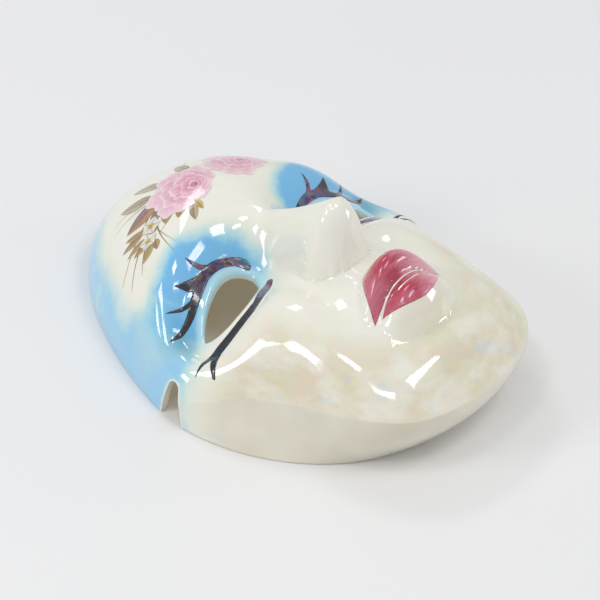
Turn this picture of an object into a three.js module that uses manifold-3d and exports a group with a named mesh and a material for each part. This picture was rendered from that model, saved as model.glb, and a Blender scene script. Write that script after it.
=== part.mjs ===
// A glazed ceramic carnival face mask, as it lies on its rim.
//
// Millimetres. +X is the wearer's left, +Y runs from the chin to the crown and +Z comes out of
// the face. The origin is in the middle of the mask's box, on the plane of the rim.
//
// The mask is one slip-cast shell. Its outer face is a dome over the rim outline, round at the
// crown and standing on an upright wall at the jaw, with soft hills and hollows for the features.
// The jaw's wall leans in and the chin swells out over the rim. The fired transfers and the lip
// colour are thin layers that follow the face just above the glaze.

import * as THREE from 'three';
import { mergeVertices } from 'three/addons/utils/BufferGeometryUtils.js';
import Module from 'manifold-3d';

const wasm = await Module();
wasm.setup();

// Rim outline, seen from the front
const HALF_WIDTH = 74;
const CROWN_Y = 104;
const CHIN_RIM_Y = -85;
const WIDEST_Y = -3;
const CENTRE_Y = 3;

// Dome and wall
const DOME_HEIGHT = 58;
const WALL = 4;
const CROWN_WALL = 0.04;
const JAW_WALL = 0.42;
const CHIN_WALL = 0.56;
const JAW_DOME_POWER = 3.4;
const JAW_LEAN = 0.11;
const CHIN_REACH_Y = -104;
const CHIN_SWELL_HEIGHT = 31;
const FEATURE_FADE = 0.2;
const DOME_SHARE_OF_ROWS = 0.75;

// Ribbon notches at the temples
const NOTCH_Y = 3;
const NOTCH_WIDTH = 14;
const NOTCH_TOP_RADIUS = 3.2;
const NOTCH_HEIGHT = 19;
const NOTCH_DEPTH = 16;

// Applied layers
const LAYER_GAP = 0.35;
const LAYER_TOP = 0.75;

// Mesh fineness
const ROUND_STEPS = 84;
const OUTER_ROWS = 28;
const INNER_ROWS = 20;
const LAYER_ROWS = OUTER_ROWS - 1;

const clamp01 = (t) => THREE.MathUtils.clamp(t, 0, 1);
const smooth = (t) => THREE.MathUtils.smoothstep(t, 0, 1);

// ---- Rim outline -------------------------------------------------------------------------

function halfOutline() {
  const crown = new THREE.Vector2(0, CROWN_Y);
  const widest = new THREE.Vector2(HALF_WIDTH, WIDEST_Y);
  const chin = new THREE.Vector2(0, CHIN_RIM_Y);
  const upper = new THREE.CubicBezierCurve(
    crown, new THREE.Vector2(44, CROWN_Y), new THREE.Vector2(HALF_WIDTH, 17), widest);
  const lower = new THREE.CubicBezierCurve(
    widest, new THREE.Vector2(HALF_WIDTH, -48), new THREE.Vector2(42, CHIN_RIM_Y), chin);
  return upper.getPoints(200).concat(lower.getPoints(200).slice(1));
}

// The outline as bearing (0 at the crown, pi at the chin) against distance from the centre
const OUTLINE = halfOutline().map((p) => ({
  bearing: Math.atan2(p.x, p.y - CENTRE_Y),
  reach: Math.hypot(p.x, p.y - CENTRE_Y),
}));

function rimReach(bearing) {
  const wanted = Math.abs(bearing);
  const next = Math.max(1, OUTLINE.findIndex((p) => p.bearing >= wanted));
  const a = OUTLINE[next - 1];
  const b = OUTLINE[next];
  const t = clamp01((wanted - a.bearing) / (b.bearing - a.bearing));
  return THREE.MathUtils.lerp(a.reach, b.reach, t);
}

// ---- Features of the face ----------------------------------------------------------------

// A soft hill (or hollow) with Gaussian slopes; `sides: 2` repeats it on both halves of the face
function hill(x, y, { height, at, spread, turn = 0, sides = 1 }) {
  const dx = (sides === 2 ? Math.abs(x) : x) - at[0];
  const dy = y - at[1];
  const a = (Math.cos(turn) * dx + Math.sin(turn) * dy) / spread[0];
  const b = (-Math.sin(turn) * dx + Math.cos(turn) * dy) / spread[1];
  return height * Math.exp(-0.5 * (a * a + b * b));
}

// A pad with a definite edge, whose ends may arch down
function pad(x, y, { height, at, radii, fullness, arch = 0, sides = 1 }) {
  const a = ((sides === 2 ? Math.abs(x) : x) - at[0]) / radii[0];
  const b = (y - at[1] + arch * x * x) / radii[1];
  return height * Math.pow(clamp01(1 - a * a - b * b), fullness);
}

const BROAD_FEATURES = [
  { name: 'forehead', height: 9.5, at: [0, 54], spread: [36, 19] },
  { name: 'brow', height: 5, at: [46, 31], spread: [15, 10], turn: -0.2, sides: 2 },
  { name: 'eye socket', height: -17, at: [34, 3], spread: [14, 12], sides: 2 },
  { name: 'inner corner of the eye', height: -9, at: [17, 5], spread: [7, 12], sides: 2 },
  { name: 'outer corner of the eye', height: -8, at: [55, 0], spread: [8, 10], sides: 2 },
  { name: 'cheek', height: 2, at: [42, -33], spread: [15, 13], sides: 2 },
  { name: 'muzzle', height: 4.5, at: [0, -57], spread: [20, 15] },
  { name: 'hollow beside the nose', height: -5, at: [18, -25], spread: [6, 12], sides: 2 },
  { name: 'hollow beside the mouth', height: -4, at: [25, -49], spread: [8, 14], sides: 2 },
  { name: 'fold under the lip', height: -4, at: [0, -76], spread: [16, 5] },
  { name: 'chin', height: 4, at: [0, -90], spread: [20, 10] },
];

const EYELID = { height: 7, at: [37, 4], radii: [22, 16], fullness: 1.3, sides: 2 };
const UPPER_LIP = { height: 12, at: [0, -51], radii: [22, 9.5], fullness: 1.1, arch: 0.014 };
const LOWER_LIP = { height: 8.5, at: [0, -66.5], radii: [20, 10.5], fullness: 1 };

const NOSE_TOP_Y = 16;
const NOSE_FADE_Y = 27;
const NOSE_BASE_Y = -35;
const NOSE_BASE_CURVE = 0.012;
const NOSE_LENGTH = 38;
const NOSE_HEIGHT = 28;
const BRIDGE_HEIGHT = 2;
const NOSE_TIP_LENGTH = 15;

// The nose rises from a narrow bridge to a round ball, then drops to its base, which curves back
// towards the wings
function nose(x, y, scale, slimmer) {
  const side = Math.abs(x);
  const along = clamp01((NOSE_TOP_Y - y) / NOSE_LENGTH);
  const height = BRIDGE_HEIGHT + (NOSE_HEIGHT - BRIDGE_HEIGHT) * along ** 1.15;
  const ridge = Math.exp(-0.5 * (side / (6 + 2 * along - slimmer)) ** 2.2);
  const ball = clamp01(1 - (side / (10 + 6 * along - slimmer)) ** 2.3) ** 0.8;
  const crossing = THREE.MathUtils.lerp(ridge, ball, smooth((along - 0.2) / 0.7));
  const base = NOSE_BASE_Y + slimmer + NOSE_BASE_CURVE * x * x;
  const tip = Math.sqrt(1 - (1 - clamp01((y - base) / NOSE_TIP_LENGTH)) ** 2.3);
  return scale * height * crossing * tip * smooth((NOSE_FADE_Y - y) / 20);
}

function mouthLine(x, y) {
  const offLine = (y + 57.5 + 0.004 * x * x) / 1.6;
  return -3 * Math.exp(-0.5 * offLine * offLine) * clamp01(1 - (x / 22) ** 2);
}

function outerFeatures(x, y) {
  const broad = BROAD_FEATURES.reduce((sum, feature) => sum + hill(x, y, feature), 0);
  const lips = pad(x, y, UPPER_LIP) + pad(x, y, LOWER_LIP) + mouthLine(x, y);
  return broad + pad(x, y, EYELID) + nose(x, y, 1, 0) + lips;
}

// The drained inside of a casting is smoother: the nose is slimmer and the lips don't show
function innerFeatures(x, y) {
  const broad = BROAD_FEATURES.reduce((sum, feature) => sum + hill(x, y, feature), 0);
  return broad + 0.8 * pad(x, y, EYELID) + nose(x, y, 0.88, 3);
}

// ---- The face as a surface ---------------------------------------------------------------

const towardsJaw = (bearing) => smooth((Math.abs(bearing) - 1.25) / 0.9);

// Height of the wall below the dome, as a share of the whole height
function wallShare(bearing) {
  const atChin = smooth((Math.abs(bearing) - 2.1) / 0.6);
  const jaw = THREE.MathUtils.lerp(CROWN_WALL, JAW_WALL, towardsJaw(bearing));
  return jaw + (CHIN_WALL - JAW_WALL) * atChin;
}

// Height of the dome at a share of the way out: round at the crown, sloped at the jaw
function domeRise(bearing, share) {
  const wall = wallShare(bearing);
  const round = Math.sqrt(Math.max(1 - share ** 2, 0));
  const sloped = 1 - share ** JAW_DOME_POWER;
  return wall + (1 - wall) * THREE.MathUtils.lerp(round, sloped, towardsJaw(bearing));
}

// How far the wall's top lies outside the rim, as a share of the rim's reach: the chin swells
// out and the jaw leans in
function wallSwell(bearing) {
  const most = (CENTRE_Y - CHIN_REACH_Y) / (CENTRE_Y - CHIN_RIM_Y) - 1;
  const offJaw = (Math.abs(bearing) - 2.1) / 0.28;
  const lean = JAW_LEAN * Math.exp(-0.5 * offJaw ** 2);
  return most * smooth((Math.abs(bearing) - 2.25) / 0.6) - lean;
}

// Where a climb from 0 (the middle of the face) to 1 (the rim) lies on the section: out over
// the dome, then evenly down the wall
function section(bearing, climb) {
  if (climb < DOME_SHARE_OF_ROWS) {
    const share = Math.sin(Math.PI / 2 * climb / DOME_SHARE_OF_ROWS);
    return { share, rise: domeRise(bearing, share) };
  }
  return { share: 1, rise: wallShare(bearing) * (1 - climb) / (1 - DOME_SHARE_OF_ROWS) };
}

// A point of the face. Bearing goes round it, climb goes outwards, and inset is the depth of
// the surface below the outer face.
function facePoint(bearing, climb, inset, features) {
  const { share, rise } = section(bearing, climb);
  const height = (DOME_HEIGHT - inset) * rise;
  const t = clamp01(height / CHIN_SWELL_HEIGHT);
  const swell = wallSwell(bearing) * t * (3 - t * t) / 2;
  const reach = share * (rimReach(bearing) * (1 + swell) - inset);
  const x = reach * Math.sin(bearing);
  const y = CENTRE_Y + reach * Math.cos(bearing);
  const z = height + features(x, y) * smooth((1 - share) / FEATURE_FADE);
  return new THREE.Vector3(x, y, z);
}

const outerFace = (bearing, climb) => facePoint(bearing, climb, 0, outerFeatures);
const innerFace = (bearing, climb) => facePoint(bearing, climb, WALL, innerFeatures);

// The outer face lifted off along its own slope
function liftedFace(lift) {
  const nudge = 0.004;
  return (bearing, climb) => {
    const start = Math.max(climb, nudge);
    const here = outerFace(bearing, start);
    const round = outerFace(bearing + nudge, start).sub(here);
    const down = outerFace(bearing, start + nudge).sub(here);
    const normal = new THREE.Vector3().crossVectors(round, down).normalize();
    if (climb === 0) normal.set(0, 0, 1);
    return outerFace(bearing, climb).addScaledVector(normal, lift);
  };
}

// A closed shell between two surfaces. A sphere's vertices are moved: its northern rows become
// the outside and its southern rows the inside, and they meet at the climb called edge.
function shellBetween(outside, inside, outerRows, innerRows, edge) {
  const rows = outerRows + 1 + innerRows;
  const geometry = new THREE.SphereGeometry(1, ROUND_STEPS, rows);
  for (let row = 0; row <= rows; row += 1) {
    const isOuter = row <= outerRows;
    const climb = edge * (isOuter ? row / outerRows : (rows - row) / innerRows);
    for (let step = 0; step <= ROUND_STEPS; step += 1) {
      const bearing = Math.PI - (step % ROUND_STEPS) / ROUND_STEPS * 2 * Math.PI;
      const point = isOuter ? outside(bearing, climb) : inside(bearing, climb);
      const index = row * (ROUND_STEPS + 1) + step;
      geometry.attributes.position.setXYZ(index, point.x, point.y, point.z);
    }
  }
  return geometry;
}

// ---- Solids ------------------------------------------------------------------------------

function toSolid(geometry) {
  geometry.deleteAttribute('normal');
  geometry.deleteAttribute('uv');
  const merged = mergeVertices(geometry, 1e-4);
  const mesh = new wasm.Mesh({
    numProp: 3,
    vertProperties: new Float32Array(merged.attributes.position.array),
    triVerts: new Uint32Array(merged.index.array),
  });
  return new wasm.Manifold(mesh);
}

function toGeometry(solid) {
  const { vertProperties, triVerts } = solid.getMesh();
  const geometry = new THREE.BufferGeometry();
  geometry.setAttribute('position', new THREE.BufferAttribute(new Float32Array(vertProperties), 3));
  geometry.setIndex(new THREE.BufferAttribute(new Uint32Array(triVerts), 1));
  geometry.computeVertexNormals();
  return geometry;
}

// An outline of curved strokes: a start, then [control x, control y, end x, end y] for each.
// `side` is 1 as written, on the wearer's left, and -1 for its mirror image.
function outlineShape({ start, strokes }, side = 1) {
  const shape = new THREE.Shape().moveTo(side * start[0], start[1]);
  strokes.forEach(([cx, cy, x, y]) => shape.quadraticCurveTo(side * cx, cy, side * x, y));
  return shape;
}

// A prism that runs right through the mask from front to back
function frontalPrism(shape) {
  const settings = { depth: 2 * DOME_HEIGHT, bevelEnabled: false, steps: 1, curveSegments: 6 };
  const geometry = new THREE.ExtrudeGeometry(shape, settings);
  geometry.translate(0, 0, -1);
  return toSolid(geometry);
}

// A ribbon notch's prism, which runs out through the side wall
function notchPrism(side) {
  const shoulderZ = NOTCH_HEIGHT - NOTCH_TOP_RADIUS;
  const shape = new THREE.Shape();
  shape.moveTo(-NOTCH_WIDTH / 2, -1);
  shape.lineTo(NOTCH_WIDTH / 2, -1);
  shape.lineTo(NOTCH_TOP_RADIUS, shoulderZ);
  shape.absarc(0, shoulderZ, NOTCH_TOP_RADIUS, 0, Math.PI);
  const settings = { depth: NOTCH_DEPTH, bevelEnabled: false, steps: 1, curveSegments: 8 };
  const geometry = new THREE.ExtrudeGeometry(shape, settings);
  const yAxis = new THREE.Vector3(0, 1, 0);
  const zAxis = new THREE.Vector3(0, 0, 1);
  const xAxis = new THREE.Vector3(1, 0, 0);
  geometry.applyMatrix4(new THREE.Matrix4().makeBasis(yAxis, zAxis, xAxis));
  const innermost = HALF_WIDTH + 4 - NOTCH_DEPTH;
  geometry.translate(side > 0 ? innermost : -innermost - NOTCH_DEPTH, NOTCH_Y, 0);
  return toSolid(geometry);
}

// ---- Outlines on the face, for the wearer's left where they are one of a pair -------------

const EYE_HOLE = {
  start: [52.5, 1.4],
  strokes: [
    [49.5, 5.2, 44, 7.9], [38, 10.8, 31, 11.9], [20, 12.6, 18.8, 6.6],
    [18.8, 1.6, 26, -2.4], [36, -7.4, 45, -4.4], [50, -2.2, 52.5, 1.4],
  ],
};

const UPPER_LASH = {
  start: [15.6, 9.6],
  strokes: [
    [15, 14, 20.5, 16.8], [26, 19.4, 31, 19.9], [34.4, 21.6, 36.4, 27.2],
    [37.2, 22.8, 34.2, 19.8], [40.5, 20, 46.8, 23.8], [45.4, 20.4, 43, 17],
    [45, 16, 46, 15.8], [51, 17.4, 55.4, 21.6], [52.6, 17.2, 48, 14.6],
    [54, 11.8, 61.2, 14], [56.4, 9.4, 49, 10.6], [42, 13, 35, 15.4], [26, 16, 21, 13.8],
    [19.2, 12.4, 18.2, 9.6], [16.8, 8, 15.6, 9.6],
  ],
};

const LOWER_LASH = {
  start: [17.8, -1.4],
  strokes: [
    [26, -4.6, 34, -8.2], [43, -9.6, 52, -5.2], [59, -3.2, 67.5, -5.6],
    [62, -5.8, 58.4, -7], [63.5, -9, 66, -16], [61.5, -10.4, 55, -9.4], [46, -12, 38, -12],
    [27, -10, 18, -4.4], [15.6, -2.9, 17.8, -1.4],
  ],
};

const UPPER_LIP_COLOUR = {
  start: [0, -47.5],
  strokes: [
    [-3, -43.5, -8, -44.5], [-15, -48, -20.5, -60.5], [-14, -58.6, -8, -57.8],
    [0, -57.2, 8, -57.8], [14, -58.6, 20.5, -60.5], [15, -48, 8, -44.5],
    [3, -43.5, 0, -47.5],
  ],
};

const LOWER_LIP_COLOUR = {
  start: [-17, -61.4],
  strokes: [
    [-11, -69, 0, -69.6], [11, -69, 17, -61.4], [13, -59.3, 8, -58.5],
    [0, -57.9, -8, -58.5], [-13, -59.3, -17, -61.4],
  ],
};

// The spray's clear film, from the end of the sprig round over the roses
const ROSE_FILM = {
  start: [-49, 50],
  strokes: [
    [-42, 62, -32, 72], [-24, 84, -10, 82], [8, 78, 18, 66], [30, 56, 33, 42],
    [30, 34, 20, 34], [6, 40, -10, 38], [-24, 34, -36, 28], [-50, 38, -49, 50],
  ],
};

// ---- Assembly ----------------------------------------------------------------------------

const MATERIALS = {
  glaze: { color: 0xf1eee2, roughness: 0.12, metalness: 0 },
  lash: { color: 0x2a2430, roughness: 0.2, metalness: 0 },
  lip: { color: 0xc2405f, roughness: 0.18, metalness: 0 },
  rose: { color: 0xd98fa8, roughness: 0.18, metalness: 0 },
};

function node(name, solid, material) {
  const mesh = new THREE.Mesh(toGeometry(solid), new THREE.MeshStandardMaterial(MATERIALS[material]));
  mesh.name = name;
  return mesh;
}

function maskShell() {
  let solid = toSolid(shellBetween(outerFace, innerFace, OUTER_ROWS, INNER_ROWS, 1));
  [1, -1].forEach((side) => {
    solid = solid.subtract(frontalPrism(outlineShape(EYE_HOLE, side)));
    solid = solid.subtract(notchPrism(side));
  });
  return solid;
}

// Everything under the face when it is lifted by a little, down to a flat bottom. It has the
// shell's own facets, so the gap below an applied layer is even.
function underFace(lift) {
  const bottom = (bearing, climb) => {
    const reach = climb * rimReach(bearing);
    return new THREE.Vector3(reach * Math.sin(bearing), CENTRE_Y + reach * Math.cos(bearing), 1);
  };
  return toSolid(shellBetween(liftedFace(lift), bottom, LAYER_ROWS, 1, LAYER_ROWS / OUTER_ROWS));
}

const layer = underFace(LAYER_TOP).subtract(underFace(LAYER_GAP));

const layered = (outline, side) => layer.intersect(frontalPrism(outlineShape(outline, side)));

const mask = new THREE.Group();
mask.add(
  node('mask_shell', maskShell(), 'glaze'),
  node('rose_transfer', layered(ROSE_FILM), 'rose'),
  node('upper_lash_left', layered(UPPER_LASH), 'lash'),
  node('upper_lash_right', layered(UPPER_LASH, -1), 'lash'),
  node('lower_lash_left', layered(LOWER_LASH), 'lash'),
  node('lower_lash_right', layered(LOWER_LASH, -1), 'lash'),
  node('upper_lip_colour', layered(UPPER_LIP_COLOUR), 'lip'),
  node('lower_lip_colour', layered(LOWER_LIP_COLOUR), 'lip'),
);

export default mask;
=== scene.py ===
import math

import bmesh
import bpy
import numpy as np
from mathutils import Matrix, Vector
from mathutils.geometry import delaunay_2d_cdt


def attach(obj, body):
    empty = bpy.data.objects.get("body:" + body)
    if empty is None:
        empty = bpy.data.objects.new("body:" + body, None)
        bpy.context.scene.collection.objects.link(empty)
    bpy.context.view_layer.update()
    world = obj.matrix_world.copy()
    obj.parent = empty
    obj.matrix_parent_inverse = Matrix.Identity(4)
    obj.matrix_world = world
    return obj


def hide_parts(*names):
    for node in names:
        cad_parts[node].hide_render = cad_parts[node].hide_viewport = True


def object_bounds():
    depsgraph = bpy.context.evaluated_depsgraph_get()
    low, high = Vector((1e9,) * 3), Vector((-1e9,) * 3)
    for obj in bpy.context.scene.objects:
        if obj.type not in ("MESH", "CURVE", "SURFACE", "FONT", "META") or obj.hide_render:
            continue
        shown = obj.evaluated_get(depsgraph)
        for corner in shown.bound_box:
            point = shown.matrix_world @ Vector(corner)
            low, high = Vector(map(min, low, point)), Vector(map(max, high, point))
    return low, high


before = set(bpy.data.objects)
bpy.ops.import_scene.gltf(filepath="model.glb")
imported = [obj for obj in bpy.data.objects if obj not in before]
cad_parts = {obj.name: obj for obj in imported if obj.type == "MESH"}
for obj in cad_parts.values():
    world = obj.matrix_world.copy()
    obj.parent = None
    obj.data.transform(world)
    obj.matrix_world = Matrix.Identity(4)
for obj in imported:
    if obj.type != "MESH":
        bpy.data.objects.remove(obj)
cad_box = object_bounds()

# A glazed ceramic carnival mask lying on its rim. The shell is one casting, worked out here as a
# fine mesh from the same dome and features as the CAD shell, but the nose is slightly lower and
# rounder at its base. The fired transfers (roses, lashes) and the lip colour are thin films that
# follow its surface. Shapes are in millimetres in the frame's axes: +X the wearer's left, +Y the
# crown, +Z out of the face. A bearing is 0 towards the crown and pi towards the chin, seen from
# the centre.

MM = 0.001

# ---- Driving dimensions -----------------------------------------------------------------------

HALF_WIDTH = cad_box[1][0] / MM
CROWN_Y = cad_box[1][1] / MM
CHIN_RIM_Y = -0.817 * CROWN_Y
CHIN_REACH_Y = cad_box[0][1] / MM
WIDEST_Y = -3.0
CENTRE = np.array([0.0, 3.0])
DOME_HEIGHT = 58.0
WALL = 4.0
CROWN_WALL = 0.04
JAW_WALL = 0.42
CHIN_WALL = 0.56
JAW_DOME_POWER = 3.4
JAW_BEARING = 1.25
JAW_FADE_IN = 0.9
CHIN_BEARING = 2.1
SWELL_BEARING = 2.25
CHIN_FADE_IN = 0.6
JAW_LEAN = 0.11
JAW_LEAN_BEARING = 2.1
JAW_LEAN_SPREAD = 0.28
CHIN_SWELL_HEIGHT = 31.0
FEATURE_FADE = 0.2

NOSE_TOP_Y = 16.0
NOSE_FADE_Y = 27.0
NOSE_BASE_Y = -35.0
NOSE_BASE_CURVE = 0.012
NOSE_LENGTH = 38.0
NOSE_TIP_LENGTH = 15.0
BRIDGE_HEIGHT = 2.0
NOSE_RISE = 25.0
RIDGE_HALF_WIDTH = 6.0
BALL_HALF_WIDTH = 10.0

MOUTH_LINE_Y = -57.5
MOUTH_LINE_CURVE = 0.004
MOUTH_LINE_DEPTH = 3.0
MOUTH_HALF_WIDTH = 22.0

NOTCH_Y = 3.0
NOTCH_WIDTH = 14.0
NOTCH_TOP_RADIUS = 3.2
NOTCH_HEIGHT = 19.0
NOTCH_CUT_DEPTH = 13.0
CUTTER_OVERSHOOT = 3.0

RIM_ROUND = 0.9
EYE_EDGE_ROUND = 2.3
EYE_RING_REACH = 3.4
EYE_PATCH_REACH = 4.2
EYE_X = 36.0
EYE_SEARCH = (32.0, 26.0)

ROUND_STEPS = 336
OUTER_DOME_ROWS = 112
OUTER_WALL_ROWS = 20
INNER_DOME_ROWS = 56
INNER_WALL_ROWS = 10
FOOT_ROWS = 6
RIM_ROWS_OUTSIDE = 20
RIM_ROWS_INSIDE = 12
SLOPE_STEP = 0.2
MERGE_DISTANCE = 0.002
SHARP_ANGLE = math.radians(42)
SEED = 7


def smooth(t):
    t = np.clip(t, 0, 1)
    return t * t * (3 - 2 * t)


def mix(a, b, t):
    return a + (b - a) * t


# ---- Rim outline and features -----------------------------------------------------------------

def bezier(points, t):
    a, b, c, d = (np.array(p, float) for p in points)
    t = np.asarray(t, float)[:, None]
    return a * (1 - t) ** 3 + 3 * b * t * (1 - t) ** 2 + 3 * c * t * t * (1 - t) + d * t ** 3


def half_outline():
    t = np.linspace(0, 1, 400)
    upper = [(0, CROWN_Y), (44, CROWN_Y), (HALF_WIDTH, 17), (HALF_WIDTH, WIDEST_Y)]
    lower = [(HALF_WIDTH, WIDEST_Y), (HALF_WIDTH, -48), (42, CHIN_RIM_Y), (0, CHIN_RIM_Y)]
    return np.vstack([bezier(upper, t), bezier(lower, t)[1:]])


OUTLINE = half_outline()
OUTLINE_BEARING = np.arctan2(OUTLINE[:, 0], OUTLINE[:, 1] - CENTRE[1])
OUTLINE_REACH = np.hypot(OUTLINE[:, 0], OUTLINE[:, 1] - CENTRE[1])


def rim_reach(bearing):
    """Distance from the centre to the rim, at a bearing of 0 to the crown and pi to the chin."""
    return np.interp(np.abs(bearing), OUTLINE_BEARING, OUTLINE_REACH)


def hill(x, y, height, at, spread, turn=0.0):
    dx, dy = x - at[0], y - at[1]
    a = (math.cos(turn) * dx + math.sin(turn) * dy) / spread[0]
    b = (-math.sin(turn) * dx + math.cos(turn) * dy) / spread[1]
    return height * np.exp(-0.5 * (a * a + b * b))


def pad(x, y, height, at, radii, fullness, arch=0.0):
    a = (x - at[0]) / radii[0]
    b = (y - at[1] + arch * x * x) / radii[1]
    return height * np.clip(1 - a * a - b * b, 0, 1) ** fullness


def nose(x, y, scale, slimmer):
    """A narrow bridge that widens into a round ball, which drops to its base."""
    along = np.clip((NOSE_TOP_Y - y) / NOSE_LENGTH, 0, 1)
    height = BRIDGE_HEIGHT + NOSE_RISE * along ** 1.15
    base = NOSE_BASE_Y + slimmer + NOSE_BASE_CURVE * x * x
    from_base = np.clip((y - base) / NOSE_TIP_LENGTH, 0, 1)
    short_of_tip = (1 - from_base) ** 2.3
    ridge = np.exp(-0.5 * np.abs(x / (RIDGE_HALF_WIDTH + 2 * along - slimmer)) ** 2.2)
    across = np.abs(x / (BALL_HALF_WIDTH + 6 * along - slimmer)) ** 2.3
    ball = np.clip(1 - across - short_of_tip, 0, 1) ** 0.8
    shape = mix(ridge * np.sqrt(1 - short_of_tip), ball, smooth((along - 0.2) / 0.7))
    return scale * height * shape * smooth((NOSE_FADE_Y - y) / 20)


def broad_features(x, y):
    side = np.abs(x)
    z = hill(x, y, 9.5, (0, 54), (36, 19))              # forehead
    z += hill(side, y, 5, (46, 31), (15, 10), -0.2)     # brow
    z += hill(side, y, -17, (34, 3), (14, 12))          # eye socket
    z += hill(side, y, -9, (17, 5), (7, 12))            # inner corner of the eye
    z += hill(side, y, -8, (55, 0), (8, 10))            # outer corner of the eye
    z += hill(side, y, 2, (42, -33), (15, 13))          # cheek
    z += hill(x, y, 4.5, (0, -57), (20, 15))            # muzzle
    z += hill(side, y, -5, (18, -25), (6, 12))          # hollow beside the nose
    z += hill(side, y, -4, (25, -49), (8, 14))          # hollow beside the mouth
    z += hill(x, y, -4, (0, -76), (16, 5))              # fold under the lip
    z += hill(x, y, 4, (0, -90), (20, 10))              # chin
    return z


def outer_features(x, y):
    side = np.abs(x)
    z = broad_features(x, y) + nose(x, y, 1.0, 0.0)
    z += pad(side, y, 7, (37, 4), (22, 16), 1.3)         # eyelid
    z += pad(x, y, 12, (0, -51), (22, 9.5), 1.1, 0.014)  # upper lip
    z += pad(x, y, 8.5, (0, -66.5), (20, 10.5), 1.0)     # lower lip
    off_line = (y - MOUTH_LINE_Y + MOUTH_LINE_CURVE * x * x) / 1.6
    along_line = np.clip(1 - (x / MOUTH_HALF_WIDTH) ** 2, 0, 1)
    return z - MOUTH_LINE_DEPTH * np.exp(-0.5 * off_line ** 2) * along_line


def inner_features(x, y):
    side = np.abs(x)
    z = broad_features(x, y) + nose(x, y, 0.88, 3.0)
    return z + 0.8 * pad(side, y, 7, (37, 4), (22, 16), 1.3)


# ---- The two faces of the shell ---------------------------------------------------------------

def towards_jaw(bearing):
    """0 from the crown to the temples, rising to 1 at the jaw."""
    return smooth((np.abs(bearing) - JAW_BEARING) / JAW_FADE_IN)


def wall_share(bearing):
    """Height of the wall below the dome, as a share of the whole height."""
    at_chin = smooth((np.abs(bearing) - CHIN_BEARING) / CHIN_FADE_IN)
    return mix(CROWN_WALL, JAW_WALL, towards_jaw(bearing)) + (CHIN_WALL - JAW_WALL) * at_chin


def dome_rise(bearing, share):
    """Height of the dome at a share of the way out: round at the crown, sloped at the jaw."""
    wall = wall_share(bearing)
    round_dome = np.sqrt(np.clip(1 - share ** 2, 0, 1))
    sloped_dome = 1 - share ** JAW_DOME_POWER
    return wall + (1 - wall) * mix(round_dome, sloped_dome, towards_jaw(bearing))


def chin_swell(bearing):
    """How far the wall's top lies outside the rim: the chin swells out and the jaw leans in."""
    most = (CENTRE[1] - CHIN_REACH_Y) / (CENTRE[1] - CHIN_RIM_Y) - 1
    off_jaw = (np.abs(bearing) - JAW_LEAN_BEARING) / JAW_LEAN_SPREAD
    swell = most * smooth((np.abs(bearing) - SWELL_BEARING) / CHIN_FADE_IN)
    return swell - JAW_LEAN * np.exp(-0.5 * off_jaw ** 2)


def face_points(bearing, share, rise, inset, features):
    """Points at a share of the way out to the rim, and a share of the way up the dome."""
    height = (DOME_HEIGHT - inset) * rise
    t = np.clip(height / CHIN_SWELL_HEIGHT, 0, 1)
    swell = chin_swell(bearing) * t * (3 - t * t) / 2
    reach = share * (rim_reach(bearing) * (1 + swell) - inset)
    x = reach * np.sin(bearing)
    y = CENTRE[1] + reach * np.cos(bearing)
    z = height + features(x, y) * smooth((1 - share) / FEATURE_FADE)
    return np.stack([x, y, z], -1)


def face_height(x, y, inset=0.0, features=outer_features):
    """Height of a face of the shell over a point inside its widest outline."""
    bearing = np.arctan2(x, y - CENTRE[1])
    reach = np.hypot(x, y - CENTRE[1])
    share = np.clip(reach / (rim_reach(bearing) * (1 + chin_swell(bearing)) - inset), 0, 1)
    rise = dome_rise(bearing, share)
    return (DOME_HEIGHT - inset) * rise + features(x, y) * smooth((1 - share) / FEATURE_FADE)


def section_rows(bearing, dome_rows, wall_rows):
    """(share, rise) for rows from the top of the dome out to its edge, then down the wall."""
    rows = []
    for i in range(dome_rows):
        share = np.full_like(bearing, math.sin(math.pi / 2 * i / dome_rows))
        rows.append((share, dome_rise(bearing, share)))
    whole = np.ones_like(bearing)
    for i in range(wall_rows):
        lowest = RIM_ROUND / DOME_HEIGHT
        rows.append((whole, mix(wall_share(bearing), lowest, i / wall_rows)))
    return rows


# ---- Outlines drawn on the face, as seen from the front ---------------------------------------

def drawn(start, strokes, steps=12, side=1):
    """A closed outline of curved strokes: [control x, control y, end x, end y] each."""
    points = []
    here = np.array(start, float)
    for cx, cy, x, y in strokes:
        control, end = np.array([cx, cy], float), np.array([x, y], float)
        for t in np.arange(steps) / steps:
            points.append(here * (1 - t) ** 2 + 2 * control * t * (1 - t) + end * t * t)
        here = end
    points = np.array(points)
    points[:, 0] *= side
    return points


def resample(outline, spacing):
    closed = np.vstack([outline, outline[:1]])
    along = np.concatenate([[0], np.cumsum(np.hypot(*np.diff(closed, axis=0).T))])
    count = max(8, int(round(along[-1] / spacing)))
    at = np.linspace(0, along[-1], count, endpoint=False)
    return np.stack([np.interp(at, along, closed[:, k]) for k in (0, 1)], -1)


def turns_left(outline):
    ahead = np.roll(outline, -1, 0)
    return np.sum(outline[:, 0] * ahead[:, 1] - ahead[:, 0] * outline[:, 1]) > 0


def distance_outside(points, outline):
    """Signed distance from points to a closed outline, positive outside."""
    a, b = outline, np.roll(outline, -1, 0)
    best = np.full(len(points), np.inf)
    inside = np.zeros(len(points), bool)
    x, y = points[:, 0], points[:, 1]
    for p, q in zip(a, b):
        d = q - p
        t = np.clip(((points - p) @ d) / (d @ d), 0, 1)
        best = np.minimum(best, np.hypot(*(points - p - t[:, None] * d).T))
        crosses = (p[1] > y) != (q[1] > y)
        rise = d[1] if abs(d[1]) > 1e-12 else 1e-12
        inside ^= crosses & (x < p[0] + (y - p[1]) * d[0] / rise)
    return np.where(inside, -best, best)


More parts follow.
